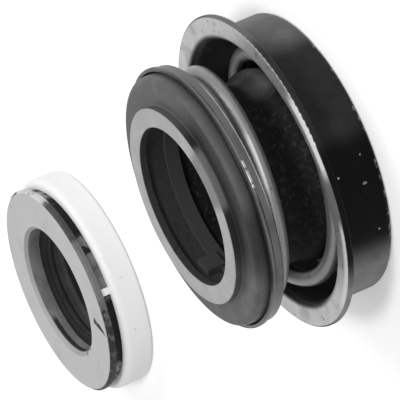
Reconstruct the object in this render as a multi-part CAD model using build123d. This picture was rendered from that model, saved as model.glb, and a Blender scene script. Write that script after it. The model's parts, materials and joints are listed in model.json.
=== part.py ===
from build123d import *
import math
import os

# A face seal for a rotating shaft, in millimetres. The head is a flanged metal cup that is pressed
# into a housing and carries a spring-loaded carbon ring. The seat is the ring that turns with the
# shaft. Both lie flat on one plane, with their axes along +Z and their running faces upwards. The
# origin is on the head's axis, on the cup's rear face.

# Shaft
shaft_radius = 7.9375
shaft_clearance = 2.4625

# Case: a drawn cup with an outward flange at its mouth
case_sheet = 0.9
cup_radius = 18.25
cup_depth = 7.8
flange_width = 2.35
mouth_bend = 1.0
flange_root_round = 0.2
flange_edge_round = 0.3
rear_corner_round = 0.8
floor_corner_round = 0.3
floor_hole_radius = 9.5

# Coil spring: left-hand, with both end turns closed against their seats. The wire rises by
# coil_low_rise over the first turns and then more steeply.
wire_diameter = 2.2
coil_band_gap = 0.35
coil_low_rise = 4.6
coil_low_turns = 0.75
coil_high_turns = 0.89
closed_low_turns = 0.6
closed_high_turns = 0.7
coil_free_height = 14.0
coil_start_angle = 90.0

# Carbon ring
carbon_length = 3.65
bore_land = 0.95
bore_relief = 0.5
nose_radius = 12.9
nose_height = 1.1
nose_root_round = 0.15
shoulder_round = 0.9
sharp_edge_round = 0.12

# Pressed steel round the carbon ring
shell_sheet = 0.45
band_height = 1.05
band_lip_flare = 0.25
band_lip_height = 0.6
band_crimp = 1.25
band_corner_round = 0.3
guide_gap = 0.6
guide_height = 2.0

# Drive sleeve and its lugs
sleeve_length = 1.8
lug_count = 2
lug_angle = 139.0
lug_width_angle = 15.0
notch_play_angle = 2.0
lug_depth = 0.9
lug_step = 0.3
lug_reach = 1.8
lug_root = 0.8

# Rubber bellows and the ferrule that clamps its foot. The heights of the waist, crest and neck are
# shares of the fold's height.
bellows_wall = 0.7
rubber_round = 0.25
bellows_foot_height = 0.8
bellows_foot_gap = 0.5
bellows_crest_gap = 0.7
bellows_waist_height = 0.2
bellows_waist = 0.3
bellows_crest_height = 0.43
bellows_neck_height = 0.8
bellows_neck = 0.7
bellows_head_height = 1.5
bellows_head_wall = 1.12
ferrule_sheet = 0.4
ferrule_flange_width = 1.8

# Seat
seat_ring_radius = 15.15
seat_plate = 1.0
seat_edge_chamfer = 0.35
seat_bore_radius = 9.3
seat_bore_chamfer = 0.45
gasket_width = 1.475
spigot_length = 1.2
carrier_radius = 15.875
carrier_height = 4.25
carrier_hole_radius = 10.4
carrier_edge_round = 0.9
carrier_rear_round = 0.5
carrier_lip = 0.7
key_count = 2
key_angle = 260.0
key_width_angle = 4.0
gasket_inset = 0.7
gasket_depth = 1.25
boot_grip = 0.15
boot_land = 1.2
boot_groove = 0.5
gouge_angle = 237.5
gouge_slant = -22.0
gouge_inset = 1.55
gouge_length = 2.4
gouge_width = 0.6
gouge_depth = 0.3

# Place of the seat beside the head
seat_offset_x = -4.0
seat_offset_y = 97.3

# Clearances
seated_gap = 0.03
slide_gap = 0.1

# Heights worked out from the sizes above
flange_back = cup_depth - case_sheet
flange_radius = cup_radius + flange_width
cup_inner_radius = cup_radius - case_sheet
web_bottom = case_sheet + coil_free_height + slide_gap
carbon_rear = web_bottom + shell_sheet
carbon_face = carbon_rear + carbon_length
shoulder_face = carbon_face - nose_height
coil_low = case_sheet + wire_diameter / 2
coil_high = case_sheet + coil_free_height - wire_diameter / 2
seat_face = carrier_height + spigot_length + seat_plate
plate_back = seat_face - seat_plate

# Radii worked out from the shaft outwards
carbon_bore_radius = shaft_radius + shaft_clearance
relief_radius = carbon_bore_radius + bore_relief
sleeve_inner_radius = relief_radius - shell_sheet
bellows_inner_radius = relief_radius + seated_gap
bellows_head_radius = bellows_inner_radius + bellows_head_wall
guide_inner_radius = bellows_head_radius + seated_gap
guide_radius = guide_inner_radius + shell_sheet
coil_inner_radius = guide_radius + guide_gap
coil_radius = coil_inner_radius + wire_diameter / 2
coil_outer_radius = coil_inner_radius + wire_diameter
band_edge_radius = coil_outer_radius + coil_band_gap
band_outer_radius = band_edge_radius + band_crimp
band_inner_radius = band_outer_radius - shell_sheet
shoulder_radius = band_inner_radius - seated_gap
ferrule_radius = floor_hole_radius - seated_gap
boot_bore_radius = shaft_radius - boot_grip
gasket_radius = carrier_radius - carrier_lip - gasket_inset
spigot_radius = gasket_radius - gasket_width


def outline(points):
    """A closed outline in radius and height. A third number rounds that corner."""
    corners = [point[:2] for point in points]
    face = make_face(Polyline(*corners, close=True))
    for point in points:
        if len(point) == 3:
            corner = face.vertices().sort_by_distance(Vector(point[0], point[1], 0))[0]
            face = fillet(corner, point[2])
    return face


def turned(face):
    """A ring turned about +Z from an outline in radius and height."""
    return revolve(Plane.XZ * face, Axis.Z)


def sector(inner, outer, low, high, angle, width_angle):
    """A block between two radii, centred on an angle."""
    half = math.radians(width_angle / 2)
    near = [(radius * math.cos(half), radius * math.sin(half)) for radius in (inner, outer)]
    far = [(x, -y) for x, y in near]
    edges = [
        Line(near[0], near[1]),
        ThreePointArc(near[1], (outer, 0), far[1]),
        Line(far[1], far[0]),
        ThreePointArc(far[0], (inner, 0), near[0]),
    ]
    block = extrude(make_face(edges), high - low)
    return Rot(0, 0, angle) * Pos(0, 0, low) * block


def around(count, first_angle):
    """Evenly spaced angles round the axis."""
    return [first_angle + 360 / count * index for index in range(count)]


def case():
    return turned(outline([
        (floor_hole_radius, 0),
        (cup_radius, 0, rear_corner_round),
        (cup_radius, flange_back, flange_root_round),
        (flange_radius, flange_back, flange_edge_round),
        (flange_radius, cup_depth, flange_edge_round),
        (cup_inner_radius, cup_depth, mouth_bend),
        (cup_inner_radius, case_sheet, floor_corner_round),
        (floor_hole_radius, case_sheet),
    ]))


def coil_spring():
    """A closed turn, two helices of different pitch and a second closed turn, as one wire."""
    wire_radius = wire_diameter / 2
    low_sweep = 360 * closed_low_turns
    high_sweep = 360 * closed_high_turns
    middle = coil_low + coil_low_rise
    middle_angle = coil_start_angle - 360 * coil_low_turns
    top_angle = middle_angle - 360 * coil_high_turns
    high_rise = coil_high - middle
    low_helix = Helix(coil_low_rise / coil_low_turns, coil_low_rise, coil_radius, lefthand=True)
    high_helix = Helix(high_rise / coil_high_turns, high_rise, coil_radius, lefthand=True)
    paths = [
        CenterArc((0, 0, coil_low), coil_radius, coil_start_angle + low_sweep, -low_sweep),
        Pos(0, 0, coil_low) * Rot(0, 0, coil_start_angle) * low_helix,
        Pos(0, 0, middle) * Rot(0, 0, middle_angle) * high_helix,
        CenterArc((0, 0, coil_high), coil_radius, top_angle, -high_sweep),
    ]
    runs = []
    for path in paths:
        section = Plane(origin=path @ 0, z_dir=path % 0) * Circle(wire_radius)
        runs.append(sweep(section, path=path, is_frenet=True))
    wire = runs[0]
    for path, run in zip(paths[1:], runs[1:]):
        wire += Pos(*(path @ 0)) * Sphere(wire_radius)
        wire += run
    return wire


def bellows():
    """A rubber sleeve with one fold: a clamped foot, a waist, a crest and a thick head."""
    half_wall = bellows_wall / 2
    crest_radius = coil_inner_radius - bellows_crest_gap - half_wall
    foot_radius = coil_inner_radius - bellows_foot_gap
    foot_top = case_sheet + bellows_foot_height
    head_top = carbon_rear - slide_gap
    head_low = head_top - bellows_head_height
    fold_height = head_low - case_sheet
    fold = Spline(
        (foot_radius - half_wall, case_sheet + bellows_foot_height / 2),
        (crest_radius - bellows_waist, case_sheet + fold_height * bellows_waist_height),
        (crest_radius, case_sheet + fold_height * bellows_crest_height),
        (crest_radius - bellows_neck, case_sheet + fold_height * bellows_neck_height),
        (bellows_inner_radius + half_wall, head_low + half_wall),
        tangents=[(0, 1), (0, 1)],
    )
    foot = outline([
        (ferrule_radius + seated_gap, case_sheet),
        (foot_radius, case_sheet),
        (foot_radius, foot_top, rubber_round),
        (ferrule_radius + seated_gap, foot_top),
    ])
    head = outline([
        (bellows_inner_radius, head_low),
        (bellows_head_radius, head_low + rubber_round, rubber_round),
        (bellows_head_radius, head_top),
        (bellows_inner_radius, head_top),
    ])
    return turned(trace(fold, bellows_wall) + foot + head)


def ferrule():
    """A thin eyelet in the floor hole, with a flange that clamps the bellows foot."""
    flange_low = case_sheet + bellows_foot_height
    flange_high = flange_low + ferrule_sheet
    flange_edge = ferrule_radius + ferrule_flange_width
    inner = ferrule_radius - ferrule_sheet
    return turned(outline([
        (inner, 0),
        (ferrule_radius, 0),
        (ferrule_radius, flange_low),
        (flange_edge, flange_low),
        (flange_edge, flange_high),
        (inner, flange_high, ferrule_sheet),
    ]))


def carbon_ring():
    body = turned(outline([
        (relief_radius, carbon_rear),
        (shoulder_radius, carbon_rear, sharp_edge_round),
        (shoulder_radius, shoulder_face, shoulder_round),
        (nose_radius, shoulder_face, nose_root_round),
        (nose_radius, carbon_face, sharp_edge_round),
        (carbon_bore_radius, carbon_face, sharp_edge_round),
        (carbon_bore_radius, carbon_face - bore_land),
        (relief_radius, carbon_face - bore_land),
    ]))
    lug_outer = sleeve_inner_radius + lug_depth
    notch_angle = lug_width_angle + notch_play_angle
    notch_outer = lug_outer + seated_gap
    notch_top = carbon_rear + lug_reach + seated_gap
    for angle in around(lug_count, lug_angle):
        body -= sector(carbon_bore_radius, notch_outer, carbon_rear, notch_top, angle, notch_angle)
    return body


def retainer_band():
    """The band crimped round the carbon ring's shoulder, with a flared lip and a turned-in edge."""
    inner = band_inner_radius
    outer = band_outer_radius
    flare_inner = inner + band_lip_flare
    flare_outer = outer + band_lip_flare
    crimp_low = web_bottom - shell_sheet
    high = carbon_rear + band_height
    lip_low = high - band_lip_height
    neck = lip_low - band_lip_flare
    return turned(outline([
        (band_edge_radius, crimp_low),
        (outer, crimp_low, band_corner_round),
        (outer, neck, band_lip_flare),
        (flare_outer, lip_low, band_lip_flare),
        (flare_outer, high, shell_sheet / 3),
        (flare_inner, high),
        (flare_inner, lip_low),
        (inner, neck),
        (inner, web_bottom),
        (band_edge_radius, web_bottom),
    ]))


def spring_cup():
    """The washer behind the carbon ring, with a guide inside the front turn of the spring."""
    guide_low = carbon_rear - guide_height
    rim = shoulder_radius - seated_gap
    return turned(outline([
        (guide_inner_radius, guide_low),
        (guide_inner_radius, carbon_rear, shell_sheet),
        (rim, carbon_rear),
        (rim, web_bottom),
        (guide_radius, web_bottom),
        (guide_radius, guide_low),
    ]))


def drive_sleeve():
    """A short tube inside the bellows, with lugs that turn the carbon ring."""
    tube = turned(outline([
        (sleeve_inner_radius, carbon_rear - sleeve_length),
        (relief_radius, carbon_rear - sleeve_length),
        (relief_radius, carbon_rear),
        (sleeve_inner_radius, carbon_rear),
    ]))
    lug_outer = sleeve_inner_radius + lug_depth
    lug_inner = sleeve_inner_radius - lug_step
    lug_middle = (sleeve_inner_radius + relief_radius) / 2
    lug_top = carbon_rear + lug_reach
    lug_foot = carbon_rear - lug_root
    for angle in around(lug_count, lug_angle):
        tube += sector(lug_inner, lug_middle, lug_foot, lug_top, angle, lug_width_angle)
        tube += sector(lug_inner, lug_outer, carbon_rear, lug_top, angle, lug_width_angle)
    return tube


def seat_ring():
    """The lapped ring: a thin plate on a narrower spigot, with one slanted gouge in its face."""
    body = turned(outline([
        (seat_bore_radius, carrier_height),
        (spigot_radius, carrier_height),
        (spigot_radius, plate_back),
        (seat_ring_radius, plate_back, sharp_edge_round),
        (seat_ring_radius, seat_face),
        (seat_bore_radius, seat_face),
    ]))
    rims = body.edges().filter_by(GeomType.CIRCLE).group_by(Axis.Z)[-1].sort_by(SortBy.RADIUS)
    body = chamfer(rims[-1], seat_edge_chamfer)
    rims = body.edges().filter_by(GeomType.CIRCLE).group_by(Axis.Z)[-1].sort_by(SortBy.RADIUS)
    body = chamfer(rims[0], seat_bore_chamfer)
    gouge_radius = seat_ring_radius - gouge_inset
    tip = (gouge_length / 2, 0)
    blunt = [(-gouge_length / 2, -gouge_width / 2), (-gouge_length / 2, gouge_width / 2)]
    dart = Rot(0, 0, gouge_slant) * extrude(make_face(Polyline(tip, *blunt, close=True)), gouge_depth)
    return body - Rot(0, 0, gouge_angle) * Pos(gouge_radius, 0, seat_face - gouge_depth) * dart


def seat_carrier():
    """The outer ring that is held on the rotating part, with keys that bridge the rubber band."""
    pocket_radius = gasket_radius + seated_gap
    pocket_floor = carrier_height - gasket_depth
    body = turned(outline([
        (carrier_hole_radius, 0, carrier_rear_round),
        (carrier_radius, 0, carrier_rear_round),
        (carrier_radius, carrier_height, carrier_edge_round),
        (pocket_radius, carrier_height),
        (pocket_radius, pocket_floor),
        (carrier_hole_radius, pocket_floor),
    ]))
    key_inner = pocket_radius + sharp_edge_round
    key_outer = seat_ring_radius - seat_edge_chamfer
    key_low = carrier_height - carrier_edge_round
    for angle in around(key_count, key_angle):
        body += sector(key_inner, key_outer, key_low, plate_back, angle, key_width_angle)
    return body


def shaft_boot():
    """The rubber boot: a band under the plate, a flange under the spigot and a sleeve that grips."""
    outer = carrier_hole_radius - seated_gap
    pocket_floor = carrier_height - gasket_depth
    low = carrier_rear_round
    groove_low = low + boot_land
    groove_high = carrier_height - boot_land
    groove_radius = boot_bore_radius + boot_groove
    return turned(outline([
        (boot_bore_radius, low),
        (outer, low),
        (outer, pocket_floor),
        (gasket_radius, pocket_floor),
        (gasket_radius, plate_back, rubber_round),
        (spigot_radius + seated_gap, plate_back),
        (spigot_radius + seated_gap, carrier_height),
        (boot_bore_radius, carrier_height, rubber_round),
        (boot_bore_radius, groove_high),
        (groove_radius, groove_high, rubber_round),
        (groove_radius, groove_low, rubber_round),
        (boot_bore_radius, groove_low),
    ]))


def main():
    os.makedirs("parts", exist_ok=True)
    head = {
        "case": case(),
        "coil_spring": coil_spring(),
        "bellows": bellows(),
        "ferrule": ferrule(),
        "carbon_ring": carbon_ring(),
        "retainer_band": retainer_band(),
        "spring_cup": spring_cup(),
        "drive_sleeve": drive_sleeve(),
    }
    seat = {
        "seat_ring": seat_ring(),
        "seat_carrier": seat_carrier(),
        "shaft_boot": shaft_boot(),
    }
    for name, shape in head.items():
        export_step(shape, f"parts/{name}.step")
    for name, shape in seat.items():
        export_step(Pos(seat_offset_x, seat_offset_y, 0) * shape, f"parts/{name}.step")


main()
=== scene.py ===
import bpy
import json
import math
from mathutils import Matrix, Vector


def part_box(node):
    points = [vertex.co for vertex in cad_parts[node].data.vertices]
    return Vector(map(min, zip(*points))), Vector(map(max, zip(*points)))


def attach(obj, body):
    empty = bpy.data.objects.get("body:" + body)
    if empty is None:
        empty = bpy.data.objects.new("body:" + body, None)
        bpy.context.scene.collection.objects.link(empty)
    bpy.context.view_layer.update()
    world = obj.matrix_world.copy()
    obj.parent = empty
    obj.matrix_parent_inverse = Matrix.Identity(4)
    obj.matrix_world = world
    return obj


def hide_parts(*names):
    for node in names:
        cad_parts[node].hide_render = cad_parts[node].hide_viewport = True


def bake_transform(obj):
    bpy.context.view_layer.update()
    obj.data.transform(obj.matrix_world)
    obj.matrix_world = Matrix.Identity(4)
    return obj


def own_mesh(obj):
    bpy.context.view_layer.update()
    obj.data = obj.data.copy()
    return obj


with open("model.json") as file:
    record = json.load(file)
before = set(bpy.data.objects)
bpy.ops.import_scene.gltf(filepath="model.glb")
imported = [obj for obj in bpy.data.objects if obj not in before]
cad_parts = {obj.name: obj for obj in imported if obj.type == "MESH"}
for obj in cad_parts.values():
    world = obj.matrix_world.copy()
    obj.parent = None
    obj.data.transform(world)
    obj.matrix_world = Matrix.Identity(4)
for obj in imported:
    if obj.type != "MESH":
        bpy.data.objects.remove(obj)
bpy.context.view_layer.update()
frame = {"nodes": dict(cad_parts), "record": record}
nodes = frame["nodes"]
mounts = {mount["name"]: mount for mount in frame["record"]["mounts"]}

MM = 0.001

# ---------------------------------------------------------------- sizes read from the frame
# Corners of boxes are in metres, and names that end in _mm are in millimetres.
case_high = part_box("case")[1]
carbon_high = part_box("carbon_ring")[1]
spring_low, spring_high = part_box("coil_spring")
bellows_low, bellows_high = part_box("bellows")
boot_low, boot_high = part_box("shaft_boot")
band_low, band_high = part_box("retainer_band")
seat_low, seat_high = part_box("seat_ring")
carrier_low, carrier_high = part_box("seat_carrier")
carrier_centre = (carrier_low + carrier_high) / 2
seat_centre = (carrier_centre.x, carrier_centre.y)
flange_mm = case_high.x / MM
depth_mm = case_high.z / MM
face_mm = carbon_high.z / MM
spring_mm = spring_high.x / MM
band_mm = band_high.x / MM
band_rear_mm = band_low.z / MM
band_front_mm = band_high.z / MM
seat_face_mm = seat_high.z / MM
seat_ring_mm = (seat_high.x - seat_low.x) / 2 / MM
cup_mm = mounts["case_press_fit"]["dims"]["r_mm"]
grip_mm = mounts["shaft_grip"]["dims"]["r_mm"]

# ---------------------------------------------------------------- camera
IMAGE_PIXELS = 400
SENSOR_WIDTH = 36.0
PIXELS_PER_METRE = 8140.0
CAMERA_DISTANCE = 0.65
CAMERA_ELEVATION = math.radians(19.8)
AXIS_ANGLE = math.radians(-23.3)
FLANGE_CENTRE_PIXEL = (261.5, 172.6)


def add_camera():
    """Looks along +Y from low down, rolled so that +Z points to the picture's lower left."""
    towards_camera = Vector((0, -math.cos(CAMERA_ELEVATION), math.sin(CAMERA_ELEVATION)))
    rearward = -Vector((0, math.sin(CAMERA_ELEVATION), math.cos(CAMERA_ELEVATION)))
    sideways = Vector((-1, 0, 0))
    right = math.cos(AXIS_ANGLE) * rearward - math.sin(AXIS_ANGLE) * sideways
    down = math.sin(AXIS_ANGLE) * rearward + math.cos(AXIS_ANGLE) * sideways
    half = IMAGE_PIXELS / 2
    offset_right = (half - FLANGE_CENTRE_PIXEL[0]) / PIXELS_PER_METRE
    offset_down = (half - FLANGE_CENTRE_PIXEL[1]) / PIXELS_PER_METRE
    target = Vector((0, 0, case_high.z)) + right * offset_right + down * offset_down
    place = target + towards_camera * CAMERA_DISTANCE
    camera = bpy.data.cameras.new("camera")
    camera.sensor_width = SENSOR_WIDTH
    camera.lens = SENSOR_WIDTH * PIXELS_PER_METRE * CAMERA_DISTANCE / IMAGE_PIXELS
    camera.clip_start = 0.01
    camera.clip_end = 20
    holder = bpy.data.objects.new("camera", camera)
    rotation = Matrix((right, -down, towards_camera)).transposed()
    holder.matrix_world = Matrix.Translation(place) @ rotation.to_4x4()
    bpy.context.scene.collection.objects.link(holder)
    bpy.context.scene.camera = holder


# ---------------------------------------------------------------- mesh helpers
def b_spline(points, steps):
    """A smooth closed line that follows a closed control line."""
    count = len(points)
    line = []
    for index in range(count):
        a, b, c, d = (Vector(points[(index + step) % count]) for step in range(4))
        for step in range(steps):
            t = step / steps
            line.append((
                a * (1 - t) ** 3
                + b * (3 * t ** 3 - 6 * t ** 2 + 4)
                + c * (-3 * t ** 3 + 3 * t ** 2 + 3 * t + 1)
                + d * t ** 3
            ) / 6)
    return line


def subdivided(points, spacing):
    """A closed line with more points along its straight parts, about a spacing apart."""
    line = []
    for index, point in enumerate(points):
        after = points[(index + 1) % len(points)]
        pieces = max(1, int(math.dist(point, after) / spacing))
        for step in range(pieces):
            share = step / pieces
            line.append((point[0] + (after[0] - point[0]) * share, point[1] + (after[1] - point[1]) * share))
    return line


def new_object(name, vertices, faces, sharp_degrees):
    mesh = bpy.data.meshes.new(name)
    mesh.from_pydata(vertices, [], faces)
    mesh.validate()
    mesh.shade_smooth()
    mesh.set_sharp_from_angle(angle=math.radians(sharp_degrees))
    piece = bpy.data.objects.new(name, mesh)
    bpy.context.scene.collection.objects.link(piece)
    return piece


def turned(name, section, segments, centre, shift, sharp_degrees):
    """A closed section, in radius and height in millimetres, turned about an upright axis.
    shift(angle, radius, height) gives how far each point stands off the true form, radially."""
    vertices = []
    for turn in range(segments):
        angle = 2 * math.pi * turn / segments
        for radius, height in section:
            reach = (radius + shift(angle, radius, height)) * MM
            x = centre[0] + reach * math.cos(angle)
            y = centre[1] + reach * math.sin(angle)
            vertices.append((x, y, height * MM))
    count = len(section)
    faces = []
    for turn in range(segments):
        here, there = turn * count, (turn + 1) % segments * count
        for index in range(count):
            after = (index + 1) % count
            faces.append((here + index, there + index, there + after, here + after))
    return new_object(name, vertices, faces, sharp_degrees)


def add_spring():
    """The wire as one smooth tube: closed turns ground flat at both ends, and open turns between them."""
    low, high = spring_low.z / MM, spring_high.z / MM
    wire_radius = 1.1
    grind = 0.1
    outset = 0.1
    ring = spring_mm - wire_radius + outset
    low_middle = low + wire_radius - grind
    high_middle = high - wire_radius + grind
    # turns wound so far, and the height of the wire's middle there
    knots = [
        (-0.76, low_middle - 1.003),
        (-0.6, low_middle),
        (0, low_middle),
        (0.75, low_middle + 4.7),
        (0.9, low_middle + 6.0),
        (1.333, low_middle + 9.9),
        (1.5, low_middle + 11.25),
        (1.6, low_middle + 11.7),
        (1.75, high_middle),
        (2.35, high_middle),
        (2.53, high_middle + 1.75),
    ]
    start_turn = 0.25
    ease = 0.045
    samples = 9
    rings = 440
    around = 32

    def straight(turn):
        """The height between two knots, before the corners at the knots are eased."""
        for (before, bottom), (after, top) in zip(knots, knots[1:]):
            if turn <= after:
                return bottom + (top - bottom) * (turn - before) / (after - before)
        return knots[-1][1]

    first, last = knots[0][0], knots[-1][0]
    line = []
    for index in range(rings + 1):
        turn = first + (last - first) * index / rings
        spread = [turn + ease * (2 * sample / (samples - 1) - 1) for sample in range(samples)]
        height = sum(straight(max(first, min(last, each))) for each in spread) / samples
        angle = 2 * math.pi * (start_turn - turn)
        line.append(Vector((ring * math.cos(angle), ring * math.sin(angle), height)))

    def ground(middle, outward, upward, angle):
        """A point of the wire's round section, brought back to the flat where the end is cut."""
        out, up = wire_radius * math.cos(angle), wire_radius * math.sin(angle)
        point = middle + out * outward + up * upward
        flat = max(low, min(high, point.z))
        if flat != point.z:
            half = math.sqrt(max(wire_radius ** 2 - (flat - middle.z) ** 2, 0))
            point = middle + max(-half, min(half, out)) * outward
            point.z = flat
        return point

    vertices = []
    for index, middle in enumerate(line):
        before, after = line[max(index - 1, 0)], line[min(index + 1, rings)]
        along = (after - before).normalized()
        outward = Vector((middle.x, middle.y, 0)).normalized()
        upward = along.cross(outward).normalized()
        outward = upward.cross(along)
        for side in range(around):
            vertices.append(ground(middle, outward, upward, 2 * math.pi * side / around) * MM)
    faces = []
    for index in range(rings):
        here, there = index * around, (index + 1) * around
        for side in range(around):
            after = (side + 1) % around
            faces.append((here + side, there + side, there + after, here + after))
    for index in (0, rings):
        faces.append(tuple(range(index * around, (index + 1) * around)))
    spring = new_object("spring_wire", vertices, faces, 20)
    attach(spring, "case")
    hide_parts("coil_spring")
    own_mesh(spring)
    return spring


def add_bellows():
    """The rubber sleeve: clamped foot, waist, one rounded fold, a long neck and a thick head."""
    floor = bellows_low.z / MM
    top = bellows_high.z / MM
    head = top - 1.5
    outside = [
        (12.58, floor + 0.02), (12.6, floor + 0.05), (12.6, floor + 0.6), (12.55, floor + 0.8),
        (12.2, floor + 0.95), (11.95, floor + 1.6), (12.0, floor + 2.3), (12.4, floor + 3.2),
        (12.6, floor + 4.0), (12.6, floor + 4.7), (12.2, floor + 5.5), (11.7, floor + 6.3),
        (11.62, floor + 7.4), (11.64, floor + 9.5), (11.64, head - 1.2), (11.68, head - 0.3),
        (11.85, head + 0.02), (12.03, head + 0.2), (12.04, head + 0.5), (12.04, top - 0.05),
        (12.02, top),
    ]
    inside = [
        (11.0, top), (10.96, top - 0.05), (10.96, top - 1.2), (10.94, head - 0.3),
        (10.94, floor + 9.5), (10.93, floor + 7.6), (11.0, floor + 6.5), (11.5, floor + 5.6),
        (11.88, floor + 4.7), (11.88, floor + 4.0), (11.65, floor + 3.2), (11.4, floor + 2.4),
        (11.38, floor + 1.7), (11.4, floor + 0.95), (11.3, floor + 0.72), (9.6, floor + 0.72),
        (9.56, floor + 0.68), (9.56, floor + 0.05), (9.6, floor + 0.02),
    ]
    section = [(point.x, point.y) for point in b_spline(outside + inside, 4)]

    def ripple(angle, radius, height):
        """Slight unevenness of the free rubber. The foot, the head and the bore stay true."""
        if radius < 11.2 or height < floor + 1.5 or height > head - 0.6:
            return 0
        return 0.02 * math.sin(3 * angle + 0.8 * height) + 0.015 * math.sin(7 * angle - 1.7 * height)

    bellows = turned("bellows_sleeve", section, 180, (0, 0), ripple, 60)
    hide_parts("bellows")
    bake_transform(bellows)
    return bellows


def add_boot():
    """The rubber boot in the seat: a band under the plate, two lips that grip and a relieved middle."""
    low, top = boot_low.z / MM, boot_high.z / MM
    outer = (boot_high.x - boot_low.x) / 2 / MM
    inner = grip_mm
    step = 3.0
    back = 4.25 - 0.02
    band = [
        (inner + 0.15, low), (10.2, low), (10.36, low + 0.1), (10.36, step - 0.02),
        (outer - 0.05, step + 0.01), (outer, step + 0.08), (outer - 0.1, step + 0.5),
        (outer - 0.03, step + 1.2), (outer, top - 0.3), (outer - 0.08, top - 0.05),
        (outer - 0.3, top - 0.01), (13.1, top - 0.01), (13.05, top - 0.05), (13.05, back),
    ]
    bore = [
        (8.3, back), (inner + 0.3, back), (inner, back - 0.28), (inner + 0.02, back - 0.68),
        (inner + 0.25, back - 0.98), (inner + 0.45, back - 1.28), (inner + 0.45, low + 1.5),
        (inner + 0.2, low + 1.2), (inner, low + 0.9), (inner, low + 0.35),
    ]

    def worn(angle, radius, height):
        """The band's outer face stands a little under its full radius, unevenly."""
        if radius < outer - 0.2 or height > top - 0.1:
            return 0
        return -0.03 + 0.03 * math.sin(11 * angle + height) * math.sin(4 * angle)

    boot = turned("boot_rubber", subdivided(band + bore, 0.35), 160, seat_centre, worn, 35)
    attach(boot, "case")
    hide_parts("shaft_boot")
    return boot


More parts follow.
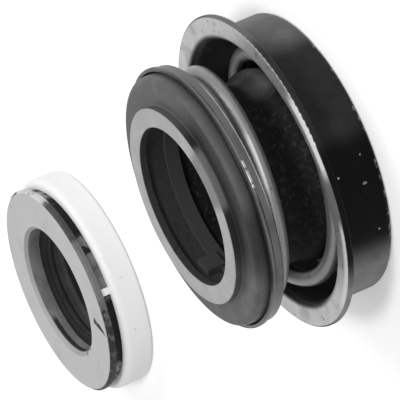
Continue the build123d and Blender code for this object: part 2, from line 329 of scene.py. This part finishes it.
# ---------------------------------------------------------------- shader helpers
class Material:
    """A node material with a Principled shader and short calls for the nodes that feed it."""

    def __init__(self, name, **sockets):
        self.material = bpy.data.materials.new(name)
        self.material.use_nodes = True
        self.tree = self.material.node_tree
        self.shader = self.tree.nodes["Principled BSDF"]
        for socket, value in sockets.items():
            self.shader.inputs[socket.replace("_", " ")].default_value = value

    def node(self, kind, **settings):
        node = self.tree.nodes.new(kind)
        for name, value in settings.items():
            setattr(node, name, value)
        return node

    def put(self, socket, value):
        """Links an output to the socket, or sets the socket to a plain value."""
        if isinstance(value, bpy.types.NodeSocket):
            self.tree.links.new(value, socket)
        else:
            socket.default_value = value

    def math(self, operation, first, second=0.0):
        node = self.node("ShaderNodeMath", operation=operation)
        self.put(node.inputs[0], first)
        self.put(node.inputs[1], second)
        return node.outputs[0]

    def place(self):
        return self.node("ShaderNodeTexCoord").outputs["Object"]

    def parts(self, centre=(0, 0)):
        """x, y, z, radius and angle about an upright axis, in millimetres and degrees from 0 to 360."""
        split = self.node("ShaderNodeSeparateXYZ")
        self.put(split.inputs[0], self.place())
        x = self.math("MULTIPLY", self.math("SUBTRACT", split.outputs[0], centre[0]), 1 / MM)
        y = self.math("MULTIPLY", self.math("SUBTRACT", split.outputs[1], centre[1]), 1 / MM)
        z = self.math("MULTIPLY", split.outputs[2], 1 / MM)
        square = self.math("ADD", self.math("MULTIPLY", x, x), self.math("MULTIPLY", y, y))
        turn = self.math("MULTIPLY", self.math("ARCTAN2", y, x), 180 / math.pi)
        turn = self.math("MODULO", self.math("ADD", turn, 360), 360)
        return x, y, z, self.math("SQRT", square), turn

    def ring_place(self, x, y, z, radius, stretch):
        """A position that runs round the axis, so that noise becomes turned or drawn lines."""
        angle = self.math("ARCTAN2", y, x)
        join = self.node("ShaderNodeCombineXYZ")
        self.put(join.inputs[0], self.math("MULTIPLY", self.math("SINE", angle), stretch))
        self.put(join.inputs[1], self.math("MULTIPLY", self.math("COSINE", angle), stretch))
        self.put(join.inputs[2], self.math("ADD", z, radius))
        return join.outputs[0]

    def noise(self, where, scale, detail=3.0, rough=0.5):
        node = self.node("ShaderNodeTexNoise")
        self.put(node.inputs["Vector"], where)
        node.inputs["Scale"].default_value = scale
        node.inputs["Detail"].default_value = detail
        node.inputs["Roughness"].default_value = rough
        return node.outputs["Fac"]

    def step(self, value, low, high):
        """0 at low, 1 at high and smooth between them. low may be the greater of the two."""
        node = self.node("ShaderNodeMapRange", interpolation_type="SMOOTHSTEP")
        self.put(node.inputs["Value"], value)
        flip = low > high
        node.inputs["From Min"].default_value = high if flip else low
        node.inputs["From Max"].default_value = low if flip else high
        node.inputs["To Min"].default_value = 1.0 if flip else 0.0
        node.inputs["To Max"].default_value = 0.0 if flip else 1.0
        return node.outputs["Result"]

    def window(self, value, low, high, soft):
        """1 between low and high, falling to 0 over soft outside them."""
        return self.both(self.step(value, low - soft, low), self.step(value, high + soft, high))

    def range(self, value, low, high):
        """Maps 0..1 to low..high."""
        node = self.node("ShaderNodeMapRange")
        self.put(node.inputs["Value"], value)
        node.inputs["To Min"].default_value = low
        node.inputs["To Max"].default_value = high
        return node.outputs["Result"]

    def mix(self, share, first, second):
        """first where share is 0, second where it is 1."""
        node = self.node("ShaderNodeMix", data_type="FLOAT")
        self.put(node.inputs["Factor"], share)
        self.put(node.inputs["A"], first)
        self.put(node.inputs["B"], second)
        return node.outputs["Result"]

    def both(self, *values):
        """The values multiplied together."""
        result = values[0]
        for value in values[1:]:
            result = self.math("MULTIPLY", result, value)
        return result

    def most(self, *values):
        """The greatest of the values."""
        result = values[0]
        for value in values[1:]:
            result = self.math("MAXIMUM", result, value)
        return result

    def spot(self, angle, height, at_angle, at_height, half_angle, half_height):
        """A soft oval mark at an angle in degrees and a height in millimetres."""
        across = self.math("DIVIDE", self.math("SUBTRACT", angle, at_angle), half_angle)
        along = self.math("DIVIDE", self.math("SUBTRACT", height, at_height), half_height)
        away = self.math("ADD", self.both(across, across), self.both(along, along))
        return self.step(away, 1.3, 0.6)

    def grey(self, value):
        join = self.node("ShaderNodeCombineColor")
        for socket in join.inputs[:3]:
            self.put(socket, value)
        self.put(self.shader.inputs["Base Color"], join.outputs[0])

    def rough(self, value):
        self.put(self.shader.inputs["Roughness"], value)

    def metal(self, value):
        self.put(self.shader.inputs["Metallic"], value)

    def bump(self, height, distance, strength):
        node = self.node("ShaderNodeBump")
        self.put(node.inputs["Height"], height)
        node.inputs["Distance"].default_value = distance
        node.inputs["Strength"].default_value = strength
        self.put(self.shader.inputs["Normal"], node.outputs[0])


def dress(piece, material):
    piece.data.materials.clear()
    piece.data.materials.append(material.material)


# ---------------------------------------------------------------- materials
# turn is an angle in degrees about the piece's own axis: 0 is +X, and 270 is the camera's side.
CASE_SHEET = 0.9
CARBON_BORE = 10.4
SEAT_BORE = 9.3


def case_material():
    """Black satin coating, worn through to bare steel on the flange's face, its edge and the rear rim."""
    m = Material("coated_case", Specular_IOR_Level=0.06)
    x, y, z, radius, turn = m.parts()
    where = m.place()
    inner = cup_mm - CASE_SHEET
    lines = m.noise(m.ring_place(x, y, z, radius, 2.5), 5, 5, 0.65)
    blotch = m.noise(where, 260, 4)
    fine = m.noise(where, 1500, 3)

    # the flange's bare face: a painted highlight towards the camera, painted shade beside that and on its
    # inner part, and painted light on a paler stretch between 205 and 238 degrees
    front = m.both(
        m.step(z, depth_mm - 0.3, depth_mm - 0.12),
        m.step(radius, inner + 0.35, inner + 1.0),
        m.step(radius, flange_mm - 0.12, flange_mm - 0.3),
    )
    outer_part = m.step(radius, flange_mm - 1.9, flange_mm - 1.2)
    inner_part = m.step(radius, flange_mm - 1.2, flange_mm - 1.9)
    # painted highlight: the outer part of the face brightened towards the camera
    painted_highlight = m.both(front, m.window(turn, 264, 286, 8), outer_part)
    # painted shade: the face dimmer beside the highlight, and on its inner part, towards the camera
    painted_shade_inner = m.both(m.window(turn, 240, 300, 8), inner_part)
    painted_shade = m.both(front, m.most(m.window(turn, 240, 260, 5), painted_shade_inner))
    # painted light: a paler stretch of the face's outer part between 205 and 238 degrees
    pale = m.both(front, m.step(radius, flange_mm - 1.3, flange_mm - 0.7), m.window(turn, 205, 238, 6))
    pits = m.both(front, m.step(m.noise(where, 1300, 2), 0.68, 0.73))
    smudge = m.both(front, m.step(m.noise(where, 330, 5), 0.52, 0.68))

    # the rear rim: chips and small marks in the coating
    rear_rim = m.both(m.step(z, 0.75, 0.2), m.step(radius, cup_mm - 0.9, cup_mm - 0.3))
    chips = m.both(rear_rim, m.step(m.noise(where, 900, 4), 0.55, 0.62))
    rim_edge = m.both(m.window(z, 0.0, 0.7, 0.2), m.step(radius, cup_mm - 0.6, cup_mm - 0.2))
    rim_marks = m.both(rim_edge, m.step(m.noise(where, 700, 3), 0.66, 0.72))

    # the outer wall: specks, two marks and faint scratches
    wall = m.both(m.step(radius, cup_mm - 0.1, cup_mm - 0.02), m.window(z, 0.5, depth_mm - 1.0, 0.1))
    specks = m.both(wall, m.step(m.noise(where, 700, 2), 0.735, 0.76))
    small_mark = m.spot(turn, z, 256.4, 5.7, 0.45, 0.13)
    large_mark = m.both(m.spot(turn, z, 250.6, 2.6, 0.55, 0.3), 0.6)
    marks = m.both(wall, m.most(small_mark, large_mark))
    scratches = m.both(wall, m.step(lines, 0.66, 0.72), m.step(blotch, 0.5, 0.62))

    rim_wear = m.both(m.most(chips, rim_marks), 0.6)
    bright = m.most(rim_wear, m.both(specks, 0.6), m.both(marks, 0.7), m.both(scratches, 0.2))
    bare = m.most(front, bright)
    bare_tone = m.range(m.noise(where, 600, 5), 0.42, 0.6)
    bare_tone = m.mix(m.both(smudge, 0.45), bare_tone, 0.2)
    bare_tone = m.mix(pits, bare_tone, 0.07)
    # painted shade, painted light and the painted highlight laid over the bare face's tone
    bare_tone = m.mix(painted_shade, bare_tone, m.range(fine, 0.12, 0.26))
    bare_tone = m.mix(pale, bare_tone, 0.75)
    bare_tone = m.mix(painted_highlight, bare_tone, 0.92)

    # the coating: painted shade keeps it deep black towards the camera, and a painted sheen makes it greyer
    # where the light grazes the sides
    mottle = m.both(blotch, m.range(fine, 0.7, 1.3))
    coat_and_sheen = m.range(mottle, 0.001, 0.006)
    coat_and_sheen = m.mix(m.window(turn, 274, 340, 9), coat_and_sheen, m.range(mottle, 0.012, 0.04))
    coat_and_sheen = m.mix(m.window(turn, 324, 346, 16), coat_and_sheen, m.range(mottle, 0.07, 0.2))
    coat_and_sheen = m.mix(m.window(turn, 196, 210, 18), coat_and_sheen, m.range(mottle, 0.12, 0.34))
    inside = m.both(m.step(radius, inner + 0.25, inner - 0.05), m.step(z, 0.6, 0.75))
    inside_tone = m.range(m.both(blotch, m.range(lines, 0.6, 1.4)), 0.04, 0.22)

    m.grey(m.mix(bare, m.mix(inside, coat_and_sheen, inside_tone), bare_tone))
    m.metal(m.both(bare, m.mix(m.most(painted_highlight, painted_shade, pale), 0.8, 0.15)))
    m.rough(m.mix(bare, m.range(lines, 0.3, 0.48), m.range(fine, 0.3, 0.5)))
    m.bump(m.math("ADD", m.both(m.most(chips, pits), -1.0), m.both(fine, 0.35)), 0.00004, 0.6)
    return m


def carbon_material():
    """Moulded carbon: dark satin sides with fine turned lines, and a lapped running face."""
    m = Material("carbon", Specular_IOR_Level=0.3)
    x, y, z, radius, turn = m.parts()
    where = m.place()
    lines = m.noise(m.ring_place(x, y, z, radius, 1.5), 7, 5, 0.6)
    grain = m.noise(where, 2200, 4)
    cloud = m.noise(where, 350, 4)
    near = m.window(turn, 264, 292, 8)

    side = m.range(m.both(m.range(lines, 0.75, 1.25), m.range(grain, 0.85, 1.15)), 0.02, 0.075)
    shoulder_flat = m.step(z, face_mm - 1.22, face_mm - 1.12)
    # painted shade: the sides and the shoulder's flat darkened towards the camera
    shaded = m.most(shoulder_flat, m.step(turn, 264, 250))
    side = m.mix(m.both(m.window(turn, 238, 300, 22), shaded), side, m.both(side, 0.22))
    side = m.mix(m.step(cloud, 0.45, 0.7), side, m.both(side, 1.35))
    # painted highlight: the nose's side wall lighter towards the camera
    nose_side_highlight = m.both(near, m.step(z, face_mm - 1.0, face_mm - 0.85), m.window(radius, 12.5, 13.1, 0.05))
    side = m.mix(nose_side_highlight, side, m.range(m.both(lines, m.range(grain, 0.85, 1.15)), 0.1, 0.26))

    lapped_and_shade = m.mix(m.step(cloud, 0.4, 0.65), 0.33, 0.38)
    # painted shade: the lapped face darker towards the camera
    lapped_and_shade = m.mix(m.both(near, 0.9), lapped_and_shade, 0.13)
    face_inner = m.step(radius, CARBON_BORE - 0.05, CARBON_BORE + 0.1)
    face = m.both(m.step(z, face_mm - 0.09, face_mm - 0.02), face_inner)
    bore = m.step(radius, CARBON_BORE + 0.55, CARBON_BORE + 0.5)
    bore_tone = m.range(m.both(grain, m.range(lines, 0.7, 1.3)), 0.02, 0.07)

    m.grey(m.mix(face, m.mix(bore, side, bore_tone), lapped_and_shade))
    m.rough(m.mix(face, m.range(grain, 0.42, 0.62), 0.34))
    m.bump(m.math("ADD", m.both(lines, 0.5), m.both(grain, 0.5)), 0.00003, 0.5)
    return m


def pressed_steel(name, low, high, metallic=0.85, painted_light=None):
    """Drawn stainless sheet with lines that run round it and faint handling marks.
    The optional last function adds painted highlight and shade that belong to one piece."""
    m = Material(name, Metallic=metallic)
    x, y, z, radius, turn = m.parts()
    where = m.place()
    lines = m.noise(m.ring_place(x, y, z, radius, 3), 6, 5, 0.6)
    spots = m.noise(where, 900, 3)
    smear = m.noise(where, 220, 3)
    tone = m.range(m.both(m.range(lines, 0.7, 1.3), m.range(spots, 0.85, 1.15)), low, high)
    tone = m.mix(m.step(smear, 0.5, 0.72), tone, m.both(tone, 0.72))
    if painted_light:
        tone = painted_light(m, tone, (z, radius, turn), smear, spots)
    m.grey(tone)
    m.rough(m.range(m.both(lines, m.range(smear, 0.8, 1.2)), 0.3, 0.5))
    m.bump(lines, 0.00002, 0.35)
    return m


def band_painted_light(m, tone, place, smear, spots):
    """On the retainer band, all painted light: painted shade on the lip, a painted highlight line with three
    painted glints and a painted highlight on the rear corner.
    """
    z, radius, turn = place
    highlight_height = band_front_mm - 0.66
    lip_shade = m.both(m.step(z, band_front_mm - 0.3, band_front_mm - 0.15), m.window(turn, 225, 325, 15))
    outside = m.step(radius, band_mm - 1, band_mm - 0.9)
    line = m.both(outside, m.window(z, highlight_height - 0.15, highlight_height + 0.1, 0.12))
    painted_glints = m.most(
        m.window(turn, 268.5, 272.5, 1.2),
        m.window(turn, 275, 277, 1),
        m.window(turn, 266, 266.8, 0.6),
    )
    rear_edge = m.step(z, band_rear_mm + 0.3, band_rear_mm + 0.18)
    corner_highlight = m.both(rear_edge, m.step(radius, band_mm - 0.7, band_mm - 0.5))
    # painted shade: the lip's top edge darkened around the camera's side
    tone = m.mix(lip_shade, tone, m.both(tone, 0.2))
    # painted highlight: a lighter line round the band towards the camera
    tone = m.mix(m.both(line, m.window(turn, 266, 296, 8)), tone, m.range(smear, 0.12, 0.4))
    # painted glints: three small bright spots on that line
    tone = m.mix(m.both(line, painted_glints), tone, 1.0)
    # painted highlight: the rear corner brightened towards the camera
    return m.mix(m.both(corner_highlight, m.window(turn, 262, 310, 14)), tone, m.range(spots, 0.3, 0.9))


def wire_steel():
    """Drawn spring wire: fine lines along the wire, small scale marks and a painted highlight strip in
    front.
    """
    m = Material("spring_wire", Metallic=0.55)
    x, y, z, radius, turn = m.parts()
    where = m.place()
    lines = m.noise(m.ring_place(x, y, z, radius, 1.2), 9, 5, 0.6)
    spots = m.noise(where, 1100, 4)
    smear = m.noise(where, 260, 3)
    tone = m.range(m.both(m.range(lines, 0.75, 1.25), m.range(smear, 0.8, 1.2)), 0.07, 0.24)
    tone = m.mix(m.step(spots, 0.62, 0.72), tone, 0.1)

    # height over the middle of the wire's front turn, which rises towards smaller angles
    front_middle, rise_per_degree = 13.15, 0.0205
    climbed = m.both(m.math("SUBTRACT", turn, 270), rise_per_degree)
    above = m.math("SUBTRACT", m.math("ADD", z, climbed), front_middle)
    # painted highlight: a bright strip along the wire's front, fainter further round
    highlight_strip = m.both(m.step(radius, spring_mm - 0.5, spring_mm - 0.3), m.window(above, 0.25, 0.62, 0.22))
    bright_highlight = m.both(highlight_strip, m.window(turn, 266, 284, 12))
    faint_highlight = m.both(highlight_strip, m.window(turn, 215, 300, 25), 0.3)
    tone = m.mix(m.most(bright_highlight, faint_highlight), tone, m.range(lines, 0.7, 1.0))

    m.grey(tone)
    m.rough(m.range(spots, 0.28, 0.46))
    m.bump(m.math("ADD", m.both(lines, 0.6), m.both(spots, 0.4)), 0.00003, 0.4)
    return m


def bellows_material():
    """Moulded black rubber: matt, with a fine grain, mould lines, a little dust and a painted highlight on
    the fold.
    """
    m = Material("bellows_rubber", Specular_IOR_Level=0.12)
    x, y, z, radius, turn = m.parts()
    where = m.place()
    grain = m.noise(where, 2600, 4, 0.6)
    cloud = m.noise(where, 420, 4)
    lines = m.noise(m.ring_place(x, y, z, radius, 2), 5, 4)
    tone = m.range(m.both(grain, m.range(cloud, 0.7, 1.3)), 0.003, 0.018)
    dust = m.both(m.step(m.noise(where, 1500, 5, 0.7), 0.5, 0.66), 0.5)
    tone = m.mix(dust, tone, 0.07)
    # painted highlight: the fold paler on its upper side
    crest_highlight = m.both(m.window(turn, 322, 350, 12), m.window(z, 4.4, 7.5, 0.9), m.step(cloud, 0.2, 0.6))
    m.grey(m.mix(crest_highlight, tone, 0.1))
    m.rough(m.range(m.both(grain, m.range(lines, 0.8, 1.2)), 0.5, 0.85))
    m.bump(m.math("ADD", m.both(grain, 0.7), m.both(lines, 0.3)), 0.00006, 0.6)
    return m


def boot_material():
    """The seat's rubber, with grey residue and, in front, a painted sheen along the band under the plate,
    and lighter bands in its bore.
    """
    m = Material("boot_rubber", Specular_IOR_Level=0.15)
    x, y, z, radius, turn = m.parts(seat_centre)
    where = m.place()
    grain = m.noise(where, 2600, 4, 0.6)
    cloud = m.noise(where, 420, 4)
    residue = m.noise(where, 620, 5, 0.7)
    tone = m.range(m.both(grain, m.range(cloud, 0.7, 1.3)), 0.004, 0.018)
    # lighter bands round the bore
    pale_bands = m.most(m.window(z, 5.0, 5.5, 0.12), m.window(z, 3.1, 3.7, 0.12), m.window(z, 1.5, 2.6, 0.12))
    tone = m.mix(m.both(pale_bands, m.step(radius, 13.0, 12.0)), tone, m.range(cloud, 0.02, 0.07))

    band = m.step(radius, 13.6, 14.0)
    ends = m.most(m.window(turn, 192, 208, 6), m.window(turn, 334, 356, 6))
    at_ends = m.both(ends, m.step(residue, 0.42, 0.56))
    # painted sheen over grey dust on the band, towards the camera
    sheen_in_front = m.both(m.window(turn, 258, 292, 5), m.step(residue, 0.38, 0.55), 0.55)
    elsewhere = m.both(m.step(residue, 0.6, 0.68), 0.6)
    dust_and_sheen = m.both(band, m.most(at_ends, sheen_in_front, elsewhere))

    m.grey(m.mix(dust_and_sheen, tone, m.range(cloud, 0.2, 0.55)))
    m.rough(m.range(grain, 0.45, 0.8))
    m.bump(m.math("ADD", m.both(grain, 0.6), m.both(residue, 0.8)), 0.00008, 0.7)
    return m


def dart_mark(m, x, y, z):
    """The dark dart-shaped mark across the seat's gouge: a long triangle, measured from its tip."""
    tip_x, tip_y = -8.45, -11.95
    slant, length, half_width = math.radians(35.5), 3.6, 0.62
    from_tip_x, from_tip_y = m.math("SUBTRACT", x, tip_x), m.math("SUBTRACT", y, tip_y)
    along_x, along_y = m.both(from_tip_x, math.cos(slant)), m.both(from_tip_y, math.sin(slant))
    across_x, across_y = m.both(from_tip_x, math.sin(slant)), m.both(from_tip_y, math.cos(slant))
    back = m.math("ADD", along_x, along_y)
    aside = m.math("ABSOLUTE", m.math("SUBTRACT", across_y, across_x))
    within = m.math("SUBTRACT", m.both(back, half_width / length), aside)
    return m.both(
        m.step(within, -0.04, 0.02),
        m.step(back, length + 0.08, length),
        m.step(z, seat_face_mm - 0.5, seat_face_mm - 0.45),
    )


def seat_ring_material():
    """Lapped grey face with blotches and fine marks, a dark mottled edge, a dull bore and a chipped rim."""
    m = Material("grey_iron", Specular_IOR_Level=0.3)
    x, y, z, radius, turn = m.parts(seat_centre)
    where = m.place()
    grain = m.noise(where, 1800, 4)
    cloud = m.noise(where, 330, 5, 0.6)
    lines = m.noise(m.ring_place(x, y, z, radius, 1.5), 8, 5, 0.6)
    patches = m.noise(where, 140, 4, 0.6)
    flecks = m.noise(where, 620, 5, 0.7)
    chip_noise = m.noise(where, 900, 4)

    varied = m.both(m.range(cloud, 0.7, 1.3), m.range(grain, 0.8, 1.2), m.range(patches, 0.75, 1.25))
    tone = m.range(varied, 0.1, 0.5)
    near_face = m.step(z, seat_face_mm - 0.5, seat_face_mm - 0.4)
    rim = m.both(m.window(radius, SEAT_BORE, SEAT_BORE + 0.5, 0.08), near_face)
    tone = m.mix(m.both(rim, 0.45), tone, 0.22)

    # the plate's outer edge: dark and mottled, a grey stretch in front and pale residue at one end
    outside = m.step(radius, seat_ring_mm - 0.36, seat_ring_mm - 0.28)
    edge_tone = m.mix(m.step(flecks, 0.5, 0.66), m.range(grain, 0.004, 0.03), m.range(cloud, 0.05, 0.2))
    edge_tone = m.mix(m.window(turn, 258, 290, 4), edge_tone, m.range(cloud, 0.08, 0.26))
    residue = m.both(m.window(turn, 328, 360, 10), m.step(flecks, 0.36, 0.46))
    edge_tone = m.mix(residue, edge_tone, m.range(cloud, 0.4, 0.85))
    edge_tone = m.mix(m.window(turn, 296, 318, 6), edge_tone, m.range(grain, 0.01, 0.09))
    tone = m.mix(outside, tone, edge_tone)

    # the bore: dull, with a dark streak under the rim
    bore = m.step(radius, SEAT_BORE + 0.06, SEAT_BORE + 0.01)
    tone = m.mix(bore, tone, m.range(m.both(cloud, m.range(lines, 0.6, 1.4)), 0.08, 0.4))
    streak = m.both(
        bore,
        m.window(turn, 114, 168, 8),
        m.window(z, seat_face_mm - 1.1, seat_face_mm - 0.62, 0.15),
        m.step(flecks, 0.34, 0.44),
    )
    tone = m.mix(streak, tone, 0.03)

    rim_zone = m.both(m.window(turn, 186, 206, 4), m.window(radius, SEAT_BORE - 0.05, SEAT_BORE + 0.65, 0.1))
    chip = m.both(rim_zone, m.step(chip_noise, 0.44, 0.5))
    tone = m.mix(m.both(chip, 0.9), tone, m.mix(m.step(flecks, 0.46, 0.54), 0.05, 0.85))
    tone = m.mix(dart_mark(m, x, y, z), tone, 0.012)

    face = m.step(z, seat_face_mm - 0.06, seat_face_mm - 0.02)
    m.grey(tone)
    m.metal(m.mix(outside, 0.3, 0.0))
    m.rough(m.mix(face, 0.6, m.range(grain, 0.36, 0.5)))
    m.bump(m.math("ADD", m.both(grain, 0.6), m.both(chip, -0.8)), 0.00004, 0.5)
    return m


def carrier_material():
    """White ceramic with a faint mottle, a few specks and a slightly greyer foot."""
    m = Material("white_ceramic", Specular_IOR_Level=0.3)
    where = m.place()
    z = m.parts(seat_centre)[2]
    cloud = m.noise(where, 260, 5)
    grain = m.noise(where, 1800, 3)
    specks = m.step(m.noise(where, 800, 2), 0.74, 0.77)
    tone = m.range(m.both(m.range(cloud, 0.92, 1.08), m.range(grain, 0.97, 1.03)), 0.68, 0.95)
    tone = m.mix(m.both(specks, 0.35), tone, 0.35)
    foot = m.both(m.step(z, 0.5, 0.1), 0.25)
    m.grey(m.mix(foot, tone, 0.5))
    m.rough(m.range(grain, 0.38, 0.55))
    m.bump(m.math("ADD", m.both(cloud, 0.5), m.both(grain, 0.5)), 0.00003, 0.4)
    return m


# ---------------------------------------------------------------- floor, light and world
FLOOR_HALF_SIZE = 3.0
FLOOR_GREY = 0.85
FLOOR_GLOW = 0.35
WORLD_LIGHT = 0.45
WHITE = (1, 1, 1, 1)
LIGHT_TARGET = (0, 0.03, 0)
SEEN_BY = ("Is Camera Ray", "Is Glossy Ray", "Is Transmission Ray")


def add_floor():
    """Plain pale floor, with a glow that only the camera, reflections and transmission see."""
    half = FLOOR_HALF_SIZE
    mesh = bpy.data.meshes.new("floor")
    corners = [(-half, -half, 0), (half, -half, 0), (half, half, 0), (-half, half, 0)]
    mesh.from_pydata(corners, [], [(0, 1, 2, 3)])
    floor = bpy.data.objects.new("floor", mesh)
    bpy.context.scene.collection.objects.link(floor)
    m = Material("floor", Roughness=1.0, Specular_IOR_Level=0.0)
    m.shader.inputs["Base Color"].default_value = (FLOOR_GREY, FLOOR_GREY, FLOOR_GREY, 1)
    path = m.node("ShaderNodeLightPath")
    seen = m.most(*(path.outputs[name] for name in SEEN_BY))
    m.shader.inputs["Emission Color"].default_value = WHITE
    m.put(m.shader.inputs["Emission Strength"], m.math("MULTIPLY", seen, FLOOR_GLOW))
    mesh.materials.append(m.material)


def add_world():
    """Full white to the camera, reflections and transmission, and a weaker even light on the rest."""
    world = bpy.data.worlds.new("world")
    bpy.context.scene.world = world
    world.use_nodes = True
    tree = world.node_tree
    background = tree.nodes["Background"]
    path = tree.nodes.new("ShaderNodeLightPath")
    seen = path.outputs[SEEN_BY[0]]
    for name in SEEN_BY[1:]:
        most = tree.nodes.new("ShaderNodeMath")
        most.operation = "MAXIMUM"
        tree.links.new(seen, most.inputs[0])
        tree.links.new(path.outputs[name], most.inputs[1])
        seen = most.outputs[0]
    strength = tree.nodes.new("ShaderNodeMapRange")
    strength.inputs["To Min"].default_value = WORLD_LIGHT
    strength.inputs["To Max"].default_value = 1.0
    tree.links.new(seen, strength.inputs["Value"])
    tree.links.new(strength.outputs["Result"], background.inputs["Strength"])
    background.inputs["Color"].default_value = WHITE


def add_light(name, place, size, power):
    """A round lamp of a diameter in metres and a power in watts, turned to the part."""
    light = bpy.data.lights.new(name, "AREA")
    light.shape = "DISK"
    light.size = size
    light.energy = power
    holder = bpy.data.objects.new(name, light)
    holder.location = place
    holder.rotation_euler = (Vector(LIGHT_TARGET) - Vector(place)).to_track_quat("-Z", "Y").to_euler()
    bpy.context.scene.collection.objects.link(holder)


add_camera()
add_floor()
add_world()
add_light("key", (0.14, -0.55, 0.75), 0.25, 3.6)
add_light("fill", (0.6, 0.1, 0.5), 0.5, 1.6)

spring = add_spring()
bellows = add_bellows()
boot = add_boot()

dress(nodes["case"], case_material())
dress(nodes["carbon_ring"], carbon_material())
dress(nodes["retainer_band"], pressed_steel("retainer_band", 0.04, 0.12, painted_light=band_painted_light))
dress(nodes["spring_cup"], pressed_steel("spring_cup", 0.045, 0.14))
dress(nodes["drive_sleeve"], pressed_steel("drive_sleeve", 0.02, 0.075, metallic=0.15))
dress(nodes["ferrule"], pressed_steel("ferrule", 0.25, 0.45))
dress(spring, wire_steel())
dress(bellows, bellows_material())
dress(boot, boot_material())
dress(nodes["seat_ring"], seat_ring_material())
dress(nodes["seat_carrier"], carrier_material())

bpy.context.scene.view_settings.view_transform = "Standard"
